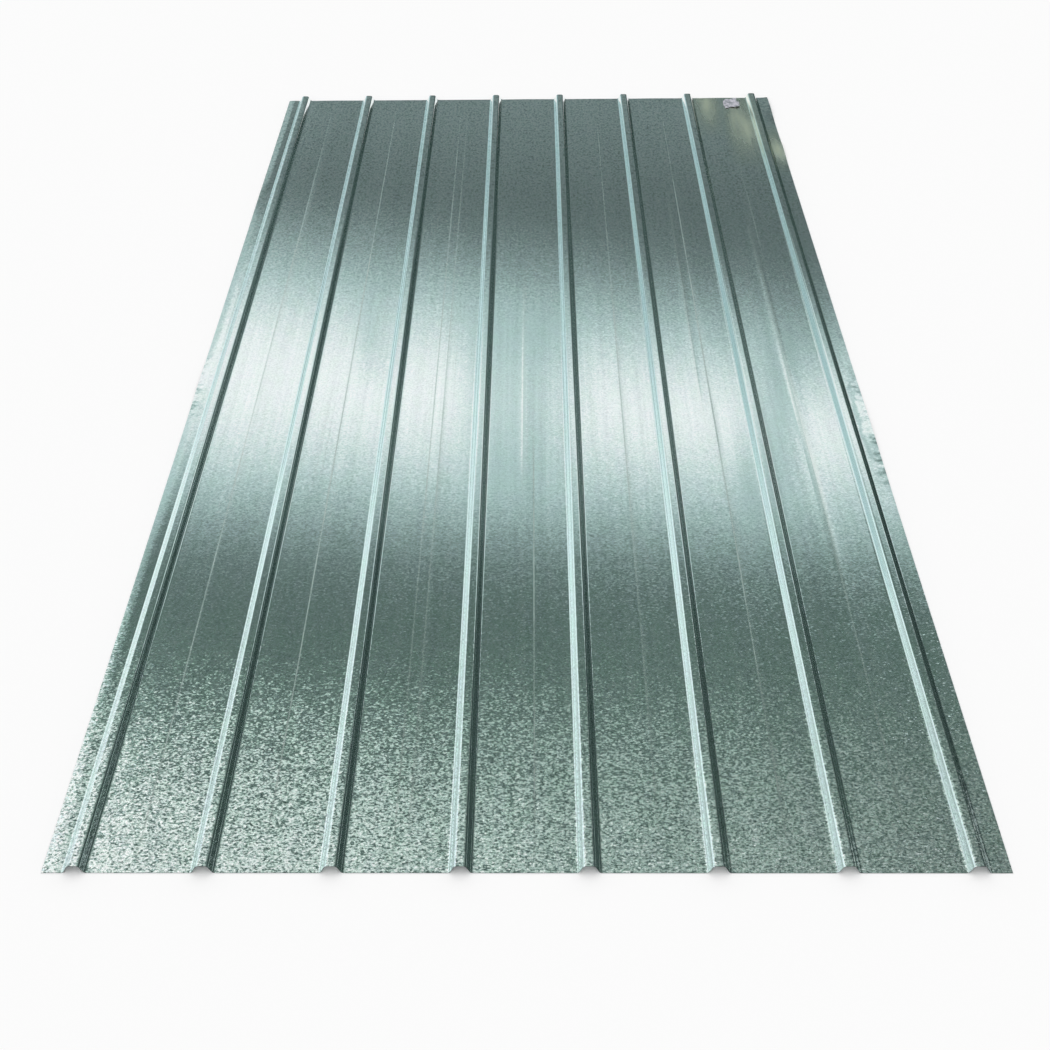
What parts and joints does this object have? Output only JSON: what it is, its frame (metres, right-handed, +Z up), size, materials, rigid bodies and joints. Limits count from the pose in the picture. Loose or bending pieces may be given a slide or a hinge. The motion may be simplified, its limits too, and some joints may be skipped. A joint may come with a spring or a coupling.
{
  "type": "box-rib corrugated metal sheet",
  "caption": "Galvanised steel sheet roll-formed with low narrow trapezoidal ribs between wide flat pans, lying flat with plain lapping edges.",
  "frame": {"origin": "on the floor plane under the middle of the sheet", "axes": "+Y along the ribs, +X across them, +Z up out of the face that the ribs stand on"},
  "size_m": [0.95, 2, 0.01],
  "materials": {
    "galvanised_steel": "satin"
  },
  "bodies": {
    "root": {"corrugated_sheet": "galvanised_steel"}
  },
  "joints": []
}
